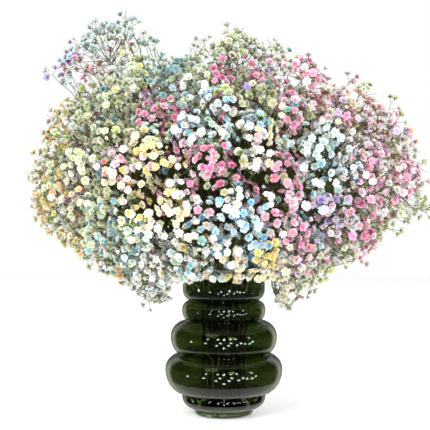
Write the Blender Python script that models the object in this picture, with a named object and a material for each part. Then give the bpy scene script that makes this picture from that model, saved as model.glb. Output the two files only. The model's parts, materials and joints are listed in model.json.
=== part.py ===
"""A bouquet of dyed double gypsophila in a bubble glass vase.

The vase is one solid of revolution. Every cut spray is one closed solid: its stem stands on the
vase's floor, runs out through the neck and forks into branches, and each branch ends in a head of
florets. The florets are larger than life, so that they cover the bouquet as the real ones do.
Units are metres, +Z is up, the vase's axis is the Z axis, and the photo was taken from -Y.
"""

import cmath
import itertools
import math
import random

import bmesh
import bpy
import numpy as np
from mathutils import Quaternion, Vector

# Vase: a foot, four bulges and a collar. Creases and widest places are heights with their radius
CREASES = ((0.0, 0.0280), (0.0082, 0.0345), (0.0274, 0.0495), (0.0765, 0.0535),
           (0.1180, 0.0450), (0.1430, 0.0412))
BULGES = ((0.0045, 0.0362), (0.0235, 0.0520), (0.0575, 0.0731), (0.0985, 0.0664), (0.1310, 0.0522))
COLLAR = (0.1570, 0.0513)
RIM_Z = 0.1800
RIM_ROUND = 0.0012
WALL = 0.0042
FLOOR = (0.0125, 0.0300)
ARC_STEPS = 3
FOOT_STEPS = 2
VASE_SIDES = 24

# Stems, from the vase's floor to its neck. They lean around the axis as cut flowers do
SPRAYS = 36
STEM_R = 0.0018
STEM_FOOT_GAP = 0.0003
STEM_FOOT_SPREAD = 0.0275
STEM_TWIST = math.radians(34)
NECK_Z = 0.160
NECK_SPREAD = 0.0335
STEM_RISE = 0.052
# Places on a stem between the neck and its first fork, as shares of that way
STEM_PLACES = (0.0, 0.35, 0.7)

# Bouquet: how far the florets reach from a heart above the mouth, by elevation in degrees
HEART = Vector((0.0, 0.0, 0.184))
REACH = ((-40, 0.106), (-12, 0.120), (0, 0.136), (8, 0.164), (15, 0.232), (20, 0.256), (26, 0.268),
         (42, 0.290), (56, 0.288), (72, 0.276), (90, 0.304))
DEPTH = 0.88
LOWEST_FALL = 104
# Sprays at the left and right hang lower than those at the front and back
DROOP = math.radians(10)
DROOP_FROM = 0.75
# Tufts stand out of the outline or dip under it: azimuth, elevation, extra reach, spread
TUFTS = ((180, 63, 0.078, 9), (0, 64, -0.018, 12), (180, 4, 0.012, 8), (20, 20, 0.012, 14),
         (75, 40, 0.014, 16), (120, 66, 0.016, 14), (250, 30, -0.010, 14), (300, 60, 0.010, 14))

# Branches: how far along a spray they fork, and how much later on the sprays that lean out most
HEADS = 132
FIRST_FORK = 0.40
FIRST_OUTWARD = 0.13
SECOND_FORK = 0.64
SECOND_OUTWARD = 0.08
FORK_SCATTER = 0.02
FORK_PULL = 0.6
HEAD_DEPTH = (0.88, 1.0)
HEAD_OUTWARD = 0.05
PLACE_SCATTER = 0.012
BRANCH_R = 0.0013
FORK_R = 0.0019
FORK_RISE = 0.0034
SPRING_LENGTH = 0.0105
SPRING_SPREAD = 0.42
LONG_BRANCH = 0.040

# Heads: florets around a knot of eight faces, whose lowest face is the branch's end
HEAD_R = 0.032
HEAD_SIZES = (0.78, 1.12)
HEAD_LOOKS_OUT = 0.6
KNOT_R = 0.0032
KNOT_BASE = math.radians(105)
KNOT_TOP = math.radians(42)
UPPER_FLORETS = math.radians(52)
LOWER_FLORETS = math.radians(68)
FLORET_LENGTH = 0.0285
FLORET_R = 0.0120
FLORET_SIDES = 5
FLORET_DOME = 0.5
FLORET_SIZES = (0.94, 1.04)
# Room that a floret takes: a ball in its stalk and one in its cup, as shares of length and radius
STALK_ROOM_AT = 0.55
STALK_ROOM = 0.5
CUP_ROOM_SINKS = 0.15
CUP_ROOM = 0.88
SIDE_LENGTH = 0.019
SIDE_R = 0.0090
SIDE_RISE = 0.62
SHRINKS = (1.0, 0.9, 0.8, 0.7)
CLEARANCE = 0.0008
SEED = 4

# Dyes, as the eye sees them
DYES = {
    "white_green": (0.84, 0.89, 0.76),
    "white": (0.93, 0.93, 0.91),
    "cream": (0.93, 0.88, 0.72),
    "yellow": (0.93, 0.84, 0.38),
    "pink": (0.93, 0.62, 0.76),
    "pale_pink": (0.95, 0.80, 0.86),
    "magenta": (0.80, 0.22, 0.52),
    "coral": (0.91, 0.47, 0.52),
    "violet": (0.62, 0.42, 0.72),
    "pale_blue": (0.72, 0.86, 0.92),
    "sky_blue": (0.38, 0.68, 0.88),
    "teal": (0.28, 0.66, 0.68),
}
# Where each dye shows: distance to the right of the vase's axis, height, dye
PATCHES = (
    (-0.149, 0.462, "pale_blue"), (-0.186, 0.430, "violet"), (-0.124, 0.405, "white_green"),
    (-0.199, 0.362, "yellow"), (-0.205, 0.280, "white_green"), (-0.155, 0.280, "teal"),
    (-0.080, 0.305, "pink"), (-0.074, 0.230, "yellow"), (-0.117, 0.186, "white_green"),
    (-0.070, 0.424, "teal"), (-0.036, 0.374, "white"), (-0.068, 0.380, "magenta"),
    (0.008, 0.418, "magenta"), (0.014, 0.474, "white_green"), (0.064, 0.430, "white_green"),
    (0.095, 0.399, "pink"), (0.164, 0.399, "coral"), (0.201, 0.343, "pale_pink"),
    (0.226, 0.293, "pink"), (0.120, 0.330, "pale_blue"), (0.051, 0.343, "pale_pink"),
    (0.026, 0.305, "pale_pink"), (0.014, 0.236, "sky_blue"), (0.014, 0.186, "cream"),
    (0.095, 0.236, "pink"), (0.145, 0.249, "violet"), (0.095, 0.180, "white_green"),
)
GLASS = (0.10, 0.13, 0.09)
GLASS_ROUGHNESS = 0.08
PETAL_ROUGHNESS = 0.75


def linear(colour):
    """A colour as the eye sees it, as the numbers that a material takes."""
    return tuple(c / 12.92 if c <= 0.04045 else ((c + 0.055) / 1.055) ** 2.4 for c in colour)


def make_material(name, colour, roughness):
    made = bpy.data.materials.new(name)
    made.use_nodes = True
    shader = made.node_tree.nodes["Principled BSDF"]
    shader.inputs["Base Color"].default_value = (*linear(colour), 1.0)
    shader.inputs["Roughness"].default_value = roughness
    shader.inputs["Metallic"].default_value = 0.0
    made.diffuse_color = (*linear(colour), 1.0)
    return made


def place_object(name, bm, surface):
    """Turns a bmesh into the named object of the scene."""
    mesh = bpy.data.meshes.new(name)
    bm.normal_update()
    bm.to_mesh(mesh)
    bm.free()
    mesh.materials.append(surface)
    bpy.context.scene.collection.objects.link(bpy.data.objects.new(name, mesh))


# Vase

def quarter(crease, widest, steps):
    """A quarter of an ellipse, as (z, r): it leaves the crease level and is upright at the widest."""
    points = []
    for step in range(steps + 1):
        turn = math.pi / 2 * step / steps
        z = widest[0] + (crease[0] - widest[0]) * math.cos(turn)
        r = crease[1] + (widest[1] - crease[1]) * math.sin(turn)
        points.append((z, r))
    return points


def vase_outline():
    """Up the outer side from the foot's flat, over the rim and down the inner side to the floor."""
    outer = [CREASES[0]]
    for below, widest, above in zip(CREASES, BULGES, CREASES[1:]):
        steps = FOOT_STEPS if below == CREASES[0] else ARC_STEPS
        outer += quarter(below, widest, steps)[1:]
        outer += quarter(above, widest, steps)[-2::-1]
    outer += quarter(CREASES[-1], COLLAR, ARC_STEPS)[1:]
    rim = [(RIM_Z - RIM_ROUND, COLLAR[1]), (RIM_Z, COLLAR[1] - RIM_ROUND)]
    rim += [(RIM_Z, COLLAR[1] - WALL + RIM_ROUND), (RIM_Z - RIM_ROUND, COLLAR[1] - WALL)]
    inner = [(COLLAR[0], COLLAR[1] - WALL)]
    for widest, above in reversed(list(zip(BULGES[1:], CREASES[2:]))):
        inner += [(above[0], above[1] - WALL), (widest[0], widest[1] - WALL)]
    return outer + rim + inner + [FLOOR]


def make_vase():
    """A ring of corners for each place on the outline, joined by bands, with a flat foot and floor."""
    bm = bmesh.new()
    rings = []
    for z, r in vase_outline():
        turns = [math.tau * k / VASE_SIDES for k in range(VASE_SIDES)]
        rings.append([bm.verts.new((r * math.cos(t), r * math.sin(t), z)) for t in turns])
    for low, high in zip(rings, rings[1:]):
        for k in range(VASE_SIDES):
            n = (k + 1) % VASE_SIDES
            bm.faces.new((low[k], low[n], high[n], high[k])).smooth = True
    bm.faces.new(reversed(rings[0]))
    bm.faces.new(rings[-1])
    place_object("vase", bm, make_material("dark_green_glass", GLASS, GLASS_ROUGHNESS))


# The rule that spreads the sprays

def eased(pairs, at):
    """Reads a curve through the pairs, level at each of them."""
    for (x0, y0), (x1, y1) in zip(pairs, pairs[1:]):
        if at <= x1:
            share = max(0.0, (at - x0) / (x1 - x0))
            return y0 + (y1 - y0) * share * share * (3 - 2 * share)
    return pairs[-1][1]


def direction(azimuth, elevation):
    flat = math.cos(elevation)
    return Vector((flat * math.cos(azimuth), flat * math.sin(azimuth), math.sin(elevation)))


def tip_reach(azimuth, elevation):
    """How far the florets reach this way from the bouquet's heart."""
    reach = eased(REACH, math.degrees(elevation))
    here = direction(azimuth, elevation)
    for tuft_azimuth, tuft_elevation, extra, spread in TUFTS:
        there = direction(math.radians(tuft_azimuth), math.radians(tuft_elevation))
        reach += extra * math.exp(-((math.degrees(here.angle(there, 0.0)) / spread) ** 2))
    return reach


def falls():
    """The angle from straight up that each share of the heads stays within, as two lists."""
    angles = np.radians(np.arange(LOWEST_FALL + 1.0))
    reach = np.array([eased(REACH, 90 - math.degrees(a)) for a in angles])
    slope = np.gradient(reach, angles)
    share = np.cumsum(reach * (reach + np.hypot(reach, slope)) * np.sin(angles))
    return share / share[-1], angles


FALL_SHARES, FALL_ANGLES = falls()


def foot_of(spot):
    """Where the stem at this spot of the bunch stands on the vase's floor."""
    at = spot * cmath.rect(STEM_FOOT_SPREAD, -STEM_TWIST)
    return Vector((at.real, at.imag, FLOOR[0] + STEM_FOOT_GAP))


def flow(spot, along):
    """A point on the line that grows from a spot of the bunch, 0 at the neck and 1 at a head.

    A spot is a complex number within 1 of 0. Lines of neighbouring spots run side by side and
    never cross, which keeps the sprays clear of each other.
    """
    share = min(1.0, abs(spot))
    azimuth = cmath.phase(spot)
    fall = float(np.interp(share * share, FALL_SHARES, FALL_ANGLES))
    fall += DROOP * math.cos(azimuth) ** 4 * max(0.0, share - DROOP_FROM) / (1 - DROOP_FROM)
    neck = Vector((NECK_SPREAD * spot.real, NECK_SPREAD * spot.imag, NECK_Z))
    over = neck + (neck - foot_of(spot)).normalized() * STEM_RISE
    elevation = math.pi / 2 - fall
    out = direction(azimuth, elevation) * (tip_reach(azimuth, elevation) - HEAD_R)
    end = HEART + Vector((out.x, out.y * DEPTH, out.z))
    back = 1.0 - along
    return neck * back ** 2 + over * (2.0 * back * along) + end * along ** 2


def sunflower(count, rng):
    """Spots spread evenly over the bunch as seeds in a sunflower, each a little off its own."""
    golden = math.pi * (3.0 - math.sqrt(5.0))
    spots = []
    for k in range(count):
        scatter = complex(rng.uniform(-1, 1), rng.uniform(-1, 1)) * PLACE_SCATTER
        spots.append(cmath.rect(math.sqrt((k + 0.5) / count), k * golden) + scatter)
    return spots


def angle_around(axis, start, vector):
    """The angle of a vector around an axis, from a start direction."""
    return math.atan2(vector.dot(axis.cross(start)), vector.dot(start))


def flattened(vector, axis):
    """The direction of a vector as seen along an axis."""
    return (vector - axis * vector.dot(axis)).normalized()


# The plan of the sprays: forks, heads and the routes between them

class Node:
    """A fork of a spray, or a head at the end of a branch."""

    def __init__(self, spot, along, parent=None, is_head=False):
        self.spot = spot
        self.along = along
        self.is_head = is_head
        self.children = []
        self.point = flow(spot, along)
        self.came_from = parent.point if parent else flow(spot, along * STEM_PLACES[-1])
        if parent:
            parent.children.append(self)
            self.middle = flow((parent.spot + spot) / 2, (parent.along + along) / 2)

    def family(self):
        return [self] + [node for child in self.children for node in child.family()]

    def aim(self):
        """A fork looks the way its branches leave, and a head partly away from the bouquet's heart."""
        arriving = (self.point - self.came_from).normalized()
        if self.is_head:
            leaving = (self.point - HEART).normalized() * HEAD_LOOKS_OUT
        else:
            leaving = sum(((child.middle - self.point).normalized() for child in self.children), Vector())
        self.axis = (arriving + leaving).normalized()
        self.corner = None if self.is_head else self.facing()

    def facing(self):
        """The direction of a fork's first corner that puts each branch between two corners."""
        ahead = self.axis.orthogonal().normalized()
        turns = sorted(angle_around(self.axis, ahead, child.middle - self.point) for child in self.children)
        if len(turns) == 1:
            start = turns[0] + math.pi
        elif len(turns) == 2:
            start = (turns[0] + turns[1]) / 2 + (math.pi if turns[1] - turns[0] > math.pi else 0.0)
        else:
            start = sum(turn - math.tau * k / 3 for k, turn in enumerate(turns)) / 3 + math.pi / 3
        return Quaternion(self.axis, start) @ ahead

    def route_branches(self):
        """Gives each branch the side of the fork that suits it, and the points that it runs through."""
        sides = [Quaternion(self.axis, math.tau * (k + 0.5) / 3) @ self.corner for k in range(3)]
        best = -math.inf
        for order in itertools.permutations(range(3), len(self.children)):
            headings = [(child.middle - self.point).normalized() for child in self.children]
            score = sum(heading.dot(sides[k]) for heading, k in zip(headings, order))
            if score > best:
                best = score
                chosen = order
        self.free_sides = [(k, sides[k]) for k in range(3) if k not in chosen]
        for child, k in zip(self.children, chosen):
            lean = (flattened(child.middle - self.point, self.axis) + sides[k]).normalized()
            spring = (self.axis + lean * SPRING_SPREAD).normalized() * SPRING_LENGTH
            child.side = k
            child.route = [self.point + spring]
            if (child.point - self.point).length > LONG_BRANCH:
                child.route.append(child.middle)
            child.route.append(child.point)


def split_in_three(heads):
    """Neighbours stay together: 4 heads give 2, 1 and 1, and 5 heads give 2, 2 and 1."""
    small, larger = divmod(len(heads), 3)
    groups = []
    for i in range(3):
        size = small + (1 if i < larger else 0)
        groups.append(heads[:size])
        heads = heads[size:]
    return [group for group in groups if group]


def plan_spray(stem, heads, rng):
    """A spray forks in three, and a branch that bears two or three heads forks once more."""
    middle = stem / 2 + sum(heads) / len(heads) / 2
    heads = sorted(heads, key=lambda spot: cmath.phase(spot - middle))
    outward = abs(stem) ** 2
    depths = [depth + HEAD_OUTWARD * outward for depth in HEAD_DEPTH]
    along = FIRST_FORK + FIRST_OUTWARD * outward + rng.uniform(-FORK_SCATTER, FORK_SCATTER)
    root = Node(middle, along)
    root.stem = stem
    for group in split_in_three(heads):
        parent = root
        if len(group) > 1:
            spot = middle * (1 - FORK_PULL) + sum(group) / len(group) * FORK_PULL
            along = SECOND_FORK + SECOND_OUTWARD * outward + rng.uniform(-FORK_SCATTER, FORK_SCATTER)
            parent = Node(spot, along, root)
        for head in group:
            Node(head, rng.uniform(*depths), parent, True)
    return root


def plan_sprays(rng):
    """Each spray takes the heads that are nearest to its own stem, and its forks are laid out."""
    stems = sunflower(SPRAYS, rng)
    taken = [[] for _ in stems]
    for spot in sunflower(HEADS, rng):
        nearest = min(range(SPRAYS), key=lambda i: abs(stems[i] - spot))
        taken[nearest].append(spot)
    sprays = [plan_spray(stem, heads, rng) for stem, heads in zip(stems, taken)]
    nodes = [node for spray in sprays for node in spray.family()]
    for number, node in enumerate(nodes):
        node.number = number
        node.aim()
    for node in nodes:
        if not node.is_head:
            node.route_branches()
    size_heads([node for node in nodes if node.is_head])
    return sprays


def size_heads(heads):
    """A head is as large as the distance to its nearest neighbours lets it be."""
    points = np.array([node.point for node in heads])
    for node in heads:
        near = np.sort(np.linalg.norm(points - np.array(node.point), axis=1))[1:4].mean()
        node.size = min(max(near / (2 * HEAD_R), HEAD_SIZES[0]), HEAD_SIZES[1])


# Room for the florets

def collar_distance(point):
    """How far a point outside the vase is from its collar and mouth."""
    beside = math.hypot(point.x, point.y) - COLLAR[1]
    above = point.z - RIM_Z
    return math.hypot(max(beside, 0.0), max(above, 0.0))


class Space:
    """Balls that fill the stems, branches and florets, each with the number of its own node."""

    def __init__(self):
        self.balls = []

    def take(self, centre, radius, number):
        self.balls.append((*centre, radius, number))

    def take_line(self, points, radius, number):
        """Fills a line with balls, a ball's width apart."""
        for a, b in zip(points, points[1:]):
            steps = math.ceil((b - a).length / (2 * radius))
            for step in range(1, steps + 1):
                self.take(a.lerp(b, step / steps), radius, number)

    def gap(self, balls, number):
        """The least gap between these balls and all that isn't the node's own."""
        table = np.array(self.balls)
        others = table[table[:, 4] != number]
        gaps = []
        for centre, radius in balls:
            away = np.linalg.norm(others[:, :3] - np.array(centre), axis=1) - others[:, 3]
            gaps.append(min(float(away.min()), collar_distance(centre)) - radius)
        return min(gaps)


def fill_space(sprays):
    """Takes the room of every stem and branch. A branch belongs to the node that it leads to."""
    space = Space()
    for spray in sprays:
        space.take_line(stem_route(spray), STEM_R, spray.number)
        for node in spray.family():
            if not node.is_head:
                for child in node.children:
                    space.take_line(child.route, BRANCH_R, child.number)
    return space


def stem_route(spray):
    """The points of a stem above the vase's neck, up to the spray's first fork."""
    points = []
    for share in STEM_PLACES:
        points.append(flow(spray.stem + (spray.spot - spray.stem) * share, spray.along * share))
    return points + [spray.point]


# Growing the solids

class Grower:
    """Grows one closed body of triangles. An open face is a list of three corners, not yet filled."""

    def __init__(self, space, rng):
        self.bm = bmesh.new()
        self.space = space
        self.rng = rng

    def fill(self, corners):
        self.bm.faces.new(corners)

    def ring(self, centre, axis, start, radius, sides):
        start = flattened(start, axis)
        turned = [Quaternion(axis, math.tau * k / sides) @ start for k in range(sides)]
        return [self.bm.verts.new(centre + way * radius) for way in turned]

    def band(self, low, high, axis):
        """Fills the band between two rings with triangles, stepping along whichever ring is behind."""
        low_middle = sum((corner.co for corner in low), Vector()) / len(low)
        high_middle = sum((corner.co for corner in high), Vector()) / len(high)
        start = flattened(high[0].co - high_middle, axis)
        turns = [angle_around(axis, start, corner.co - low_middle) for corner in low]
        first = min(range(len(low)), key=lambda k: abs(turns[k]))
        low = low[first:] + low[:first]
        base = turns[first]
        low_turns = [base + (turn - base) % math.tau for turn in turns[first:] + turns[:first]]
        low_turns.append(base + math.tau)
        high_turns = [math.tau * k / len(high) for k in range(len(high) + 1)]
        i = j = 0
        while i < len(low) or j < len(high):
            low_next = (low_turns[i] + low_turns[i + 1]) / 2 if i < len(low) else math.inf
            high_next = (high_turns[j] + high_turns[j + 1]) / 2 if j < len(high) else math.inf
            a = low[i % len(low)]
            b = high[j % len(high)]
            if low_next <= high_next:
                i += 1
                self.fill((a, low[i % len(low)], b))
            else:
                j += 1
                self.fill((a, high[j % len(high)], b))

    def tube(self, face, points, radii, end_axis, end_corner):
        """Carries a three-sided tube from an open face through the points, and returns its open end."""
        for k, (point, radius) in enumerate(zip(points, radii)):
            before = sum((corner.co for corner in face), Vector()) / 3
            axis = end_axis
            start = end_corner
            if k + 1 < len(points):
                axis = ((point - before).normalized() + (points[k + 1] - point).normalized()).normalized()
            if k + 1 < len(points) or not end_corner:
                start = face[0].co - before
            ring = self.ring(point, axis, start, radius, 3)
            self.band(face, ring, axis)
            face = ring
        return face

    def floret(self, face, foot, way, length, radius):
        """A floret on its stalk: a slim cup that widens towards its rim, with a domed top."""
        middle = foot + way * length
        start = Quaternion(way, self.rng.uniform(0, math.tau)) @ way.orthogonal()
        ring = self.ring(middle, way, start, radius, FLORET_SIDES)
        self.band(face, ring, way)
        tip = self.bm.verts.new(middle + way * radius * FLORET_DOME)
        for k in range(FLORET_SIDES):
            self.fill((ring[k], ring[(k + 1) % FLORET_SIDES], tip))

    def fit_floret(self, face, node, way, length, radius):
        """Grows a floret as large as its room allows, or closes the face, and returns its balls."""
        for share in SHRINKS:
            stalk = node.point + way * length * share * STALK_ROOM_AT
            cup = node.point + way * (length - radius * CUP_ROOM_SINKS) * share
            balls = [(stalk, radius * share * STALK_ROOM), (cup, radius * share * CUP_ROOM)]
            if self.space.gap(balls, node.number) > CLEARANCE:
                self.floret(face, node.point, way, length * share, radius * share)
                return balls
        self.fill(face)
        return []

    def head(self, face, node):
        """Seven florets around a small knot: one on top, three beside it and three lower down."""
        axis = node.axis
        start = flattened(face[0].co - node.point, axis)
        rises = [Quaternion(axis, math.tau * (k + 0.5) / 3) @ start for k in range(3)]
        tops = []
        for rise in rises:
            way = axis * math.cos(KNOT_TOP) + rise * math.sin(KNOT_TOP)
            tops.append(self.bm.verts.new(node.point + way * KNOT_R))
        spots = [(tops, 0.0, start)]
        for k in range(3):
            n = (k + 1) % 3
            spots.append(([face[k], face[n], tops[k]], LOWER_FLORETS, rises[k]))
            side = Quaternion(axis, math.tau * n / 3) @ start
            spots.append(([face[n], tops[n], tops[k]], UPPER_FLORETS, side))
        taken = []
        for corners, lean, side in spots:
            way = (axis * math.cos(lean) + side * math.sin(lean)).normalized()
            size = self.rng.uniform(*FLORET_SIZES) * node.size
            radius = FLORET_R * min(size, node.size)
            taken += self.fit_floret(corners, node, way, FLORET_LENGTH * size, radius)
        for centre, radius in taken:
            self.space.take(centre, radius, node.number)

    def fork(self, face, node):
        """Three ways on from a fork. A way that no branch takes bears a floret of its own."""
        apex = self.bm.verts.new(node.point + node.axis * FORK_RISE)
        ways = [[face[k], face[(k + 1) % 3], apex] for k in range(3)]
        for child in node.children:
            end_r = KNOT_R * math.sin(KNOT_BASE) if child.is_head else FORK_R
            drop = child.axis * KNOT_R * math.cos(KNOT_BASE) if child.is_head else Vector()
            points = child.route[:-1] + [child.point + drop]
            radii = [BRANCH_R] * (len(points) - 1) + [end_r]
            end = self.tube(ways[child.side], points, radii, child.axis, child.corner)
            if child.is_head:
                self.head(end, child)
            else:
                self.fork(end, child)
        for k, side in node.free_sides:
            way = (node.axis * SIDE_RISE + side).normalized()
            for centre, radius in self.fit_floret(ways[k], node, way, SIDE_LENGTH, SIDE_R):
                self.space.take(centre, radius, node.number)

    def spray(self, spray):
        foot = foot_of(spray.stem)
        up = Vector((0.0, 0.0, 1.0))
        ring = self.ring(foot, up, Vector((1.0, 0.0, 0.0)), STEM_R, 3)
        self.fill(ring[::-1])
        points = stem_route(spray)
        radii = [STEM_R] * (len(points) - 1) + [FORK_R]
        self.fork(self.tube(ring, points, radii, spray.axis, spray.corner), spray)


def dye_of(spray):
    """The dye that shows nearest to the middle of the spray's heads."""
    heads = [node.point for node in spray.family() if node.is_head]
    middle = sum(heads, Vector()) / len(heads)
    return min(PATCHES, key=lambda patch: math.hypot(patch[0] - middle.x, patch[1] - middle.z))[2]


def main():
    for thing in list(bpy.data.objects):
        bpy.data.objects.remove(thing)
    make_vase()
    rng = random.Random(SEED)
    surfaces = {dye: make_material(f"dyed_{dye}", colour, PETAL_ROUGHNESS) for dye, colour in DYES.items()}
    sprays = plan_sprays(rng)
    space = fill_space(sprays)
    for number, spray in enumerate(sprays, 1):
        grower = Grower(space, rng)
        grower.spray(spray)
        place_object(f"spray_{number:02d}", grower.bm, surfaces[dye_of(spray)])


main()
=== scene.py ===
"""The looks of a bouquet of dyed double gypsophila in a bubble glass vase.

Every spray of the frame is read ring by ring: its stalks give the paths that the fine stalks
follow, and each of its large florets gives the place of a small cluster of real ones. More
clusters fill the room between them, and the vase is turned again with a fine, smooth wall.
Lengths are metres, +Z is up, and the camera looks along +Y.
"""
import itertools
import json
import math
import random

import bmesh
import bpy
import numpy as np
from bpy.props import FloatProperty, FloatVectorProperty, IntProperty, PointerProperty
from bpy.types import Operator, Panel, PropertyGroup
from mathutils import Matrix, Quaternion, Vector

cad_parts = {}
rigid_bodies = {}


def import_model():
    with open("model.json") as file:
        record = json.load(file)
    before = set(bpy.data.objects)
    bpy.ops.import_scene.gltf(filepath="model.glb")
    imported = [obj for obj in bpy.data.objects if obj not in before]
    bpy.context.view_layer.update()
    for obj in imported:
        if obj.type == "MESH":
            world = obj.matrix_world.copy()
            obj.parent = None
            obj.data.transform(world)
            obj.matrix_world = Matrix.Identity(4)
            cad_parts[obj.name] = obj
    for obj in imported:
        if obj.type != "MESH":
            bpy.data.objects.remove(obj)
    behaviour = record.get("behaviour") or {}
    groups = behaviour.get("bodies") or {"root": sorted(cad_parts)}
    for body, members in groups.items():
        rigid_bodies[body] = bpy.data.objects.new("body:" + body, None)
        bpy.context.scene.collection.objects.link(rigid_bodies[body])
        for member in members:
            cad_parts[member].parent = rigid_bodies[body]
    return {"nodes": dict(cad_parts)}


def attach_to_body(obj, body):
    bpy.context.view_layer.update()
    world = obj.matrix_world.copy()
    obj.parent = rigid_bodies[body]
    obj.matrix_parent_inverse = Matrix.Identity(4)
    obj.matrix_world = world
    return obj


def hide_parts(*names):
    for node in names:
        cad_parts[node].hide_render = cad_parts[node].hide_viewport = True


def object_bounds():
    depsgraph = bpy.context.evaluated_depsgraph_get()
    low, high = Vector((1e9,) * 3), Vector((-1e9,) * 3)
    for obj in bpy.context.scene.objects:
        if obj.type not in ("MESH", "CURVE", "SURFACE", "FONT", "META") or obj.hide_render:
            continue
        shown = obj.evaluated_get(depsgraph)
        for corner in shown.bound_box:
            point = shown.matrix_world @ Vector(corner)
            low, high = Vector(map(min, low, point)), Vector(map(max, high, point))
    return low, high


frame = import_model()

bl_info = {
    "name": "Gypsophila Bouquet",
    "version": (1, 0, 0),
    "blender": (4, 5, 0),
    "location": "View3D > Sidebar > Bouquet",
    "description": "Dresses a bouquet of dyed gypsophila and its glass vase",
    "category": "Object",
}

CAD_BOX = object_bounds()
BODY = "root"
SPRAYS = sorted(name for name in frame["nodes"] if name.startswith("spray_"))
GOLDEN = math.pi * (3.0 - math.sqrt(5.0))
WELD = 1e-5
SEED = 7

# Dyes, as the eye sees them
DYES = {
    "white": (0.97, 0.97, 0.95),
    "white_green": (0.88, 0.94, 0.78),
    "lime": (0.76, 0.84, 0.45),
    "cream": (0.98, 0.94, 0.80),
    "yellow": (0.97, 0.87, 0.38),
    "orange": (0.96, 0.70, 0.36),
    "peach": (0.97, 0.80, 0.68),
    "coral": (0.93, 0.50, 0.52),
    "pale_pink": (0.98, 0.84, 0.90),
    "pink": (0.95, 0.58, 0.76),
    "magenta": (0.84, 0.24, 0.56),
    "lilac": (0.88, 0.80, 0.94),
    "violet": (0.58, 0.44, 0.80),
    "pale_blue": (0.83, 0.93, 0.97),
    "sky_blue": (0.42, 0.77, 0.92),
    "teal": (0.36, 0.67, 0.70),
    "mint": (0.74, 0.90, 0.84),
    "moss": (0.56, 0.62, 0.30),
}
# Each mix of dyes is a share of every dye in it
MIXES = {
    "ice": {"pale_blue": 5, "white": 3, "mint": 2, "teal": 1, "sky_blue": 1},
    "sky": {"pale_blue": 4, "sky_blue": 4, "white": 4, "teal": 1},
    "snow": {"white": 6, "pale_blue": 2, "cream": 1, "mint": 1},
    "meadow": {"white_green": 6, "lime": 2, "white": 3, "cream": 1},
    "straw": {"yellow": 3, "cream": 3, "white_green": 3, "lime": 1, "orange": 1},
    "butter": {"cream": 5, "white": 3, "yellow": 3, "peach": 1},
    "sherbet": {"pink": 3, "pale_pink": 3, "yellow": 2, "cream": 3, "coral": 1, "orange": 1},
    "rose": {"pink": 4, "pale_pink": 4, "magenta": 1, "white": 2},
    "fuchsia": {"magenta": 6, "pink": 2, "violet": 1, "moss": 2},
    "thicket": {"moss": 4, "white_green": 3, "lime": 2, "teal": 1},
    "heather": {"pink": 3, "magenta": 2, "moss": 3, "lilac": 1},
    "coral": {"coral": 4, "pink": 3, "peach": 2, "cream": 1},
    "blush": {"pale_pink": 4, "white": 3, "pink": 2, "cream": 2, "lilac": 1},
    "lavender": {"lilac": 3, "violet": 2, "pink": 3, "pale_blue": 2, "pale_pink": 1},
    "lagoon": {"teal": 4, "mint": 3, "white_green": 2, "pale_blue": 1},
    "shell": {"white": 3, "pale_pink": 3, "pale_blue": 3, "cream": 2, "pink": 1},
}
# Where each mix shows: distance to the right of the vase's axis, height, mix
PATCHES = (
    (-0.149, 0.462, "ice"), (-0.190, 0.430, "lavender"), (-0.128, 0.418, "meadow"),
    (-0.165, 0.395, "thicket"), (-0.199, 0.362, "straw"), (-0.205, 0.280, "straw"),
    (-0.185, 0.315, "meadow"), (-0.152, 0.345, "thicket"), (-0.117, 0.372, "thicket"),
    (-0.148, 0.268, "thicket"), (-0.156, 0.230, "lagoon"), (-0.120, 0.305, "sherbet"),
    (-0.082, 0.312, "straw"), (-0.076, 0.286, "sherbet"), (-0.040, 0.298, "rose"),
    (-0.074, 0.248, "butter"), (-0.050, 0.215, "snow"), (-0.135, 0.186, "snow"),
    (-0.078, 0.188, "lagoon"), (-0.104, 0.222, "snow"), (-0.075, 0.428, "lagoon"),
    (-0.036, 0.372, "ice"), (-0.072, 0.385, "fuchsia"), (-0.042, 0.418, "meadow"),
    (0.004, 0.415, "fuchsia"), (0.014, 0.470, "meadow"), (0.064, 0.442, "meadow"),
    (0.042, 0.378, "thicket"), (0.078, 0.372, "heather"), (0.100, 0.402, "rose"),
    (0.118, 0.370, "blush"), (0.134, 0.415, "coral"), (0.164, 0.399, "coral"),
    (0.196, 0.340, "blush"), (0.186, 0.300, "rose"), (0.226, 0.293, "rose"),
    (0.235, 0.262, "meadow"), (0.128, 0.330, "ice"), (0.112, 0.296, "ice"), (0.096, 0.350, "ice"),
    (0.010, 0.342, "ice"), (0.000, 0.300, "fuchsia"), (0.036, 0.318, "blush"),
    (0.070, 0.306, "heather"), (0.076, 0.262, "rose"), (0.006, 0.258, "sky"),
    (-0.018, 0.225, "sky"), (0.045, 0.238, "sky"), (0.014, 0.190, "butter"),
    (-0.030, 0.186, "snow"), (0.058, 0.196, "butter"), (0.100, 0.232, "rose"),
    (0.118, 0.190, "blush"), (0.145, 0.249, "lavender"), (0.152, 0.212, "coral"),
    (0.190, 0.240, "rose"), (0.084, 0.156, "butter"), (0.180, 0.212, "meadow"),
)
# The bouquet's own round form, on which the patches lie at the front and, turned about, behind
HEART = Vector((0.0, 0.0, 0.184))
ROUND_R = 0.27
DEPTH = 0.88
PATCH_SCATTER = 0.012
LEAST_DEPTH = 0.02

# Hearts of the florets, as the eye sees them, or none for a deeper shade of the dye
HEARTS = {"ochre": (0.74, 0.52, 0.24), "green": (0.58, 0.64, 0.28), "own": None}
HEART_SHARES = (3, 3, 5)
# Hearts are darkened by these factors: partly their own deeper colour, partly painted shade between a
# floret's layers
HEART_SHADE = 0.85
OWN_HEART_SHADE = 0.75
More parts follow.
